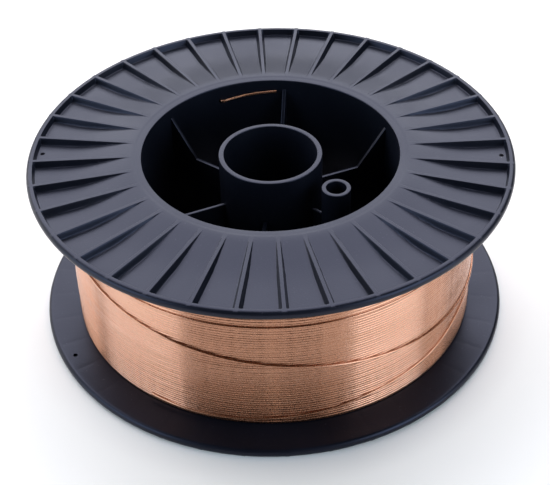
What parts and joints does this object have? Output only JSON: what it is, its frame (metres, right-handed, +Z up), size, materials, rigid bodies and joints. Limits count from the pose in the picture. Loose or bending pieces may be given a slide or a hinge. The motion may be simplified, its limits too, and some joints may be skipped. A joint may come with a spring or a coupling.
{
  "type": "spool of welding wire",
  "caption": "Moulded spool with two ribbed flanges, a webbed hub and a drive tube, wound full with copper-coated welding wire.",
  "frame": {"origin": "centre of the lower flange's face, on the floor that the spool stands on", "axes": "+Z up along the spool's axis; +X and -Y as seen from the front"},
  "size_m": [0.27, 0.27, 0.103],
  "materials": {
    "spool_plastic": "satin black moulded plastic",
    "copper_coated_wire": "bright drawn steel wire with a thin copper coating"
  },
  "bodies": {
    "root": {"spool": "spool_plastic", "welding_wire": "copper_coated_wire"}
  },
  "joints": []
}
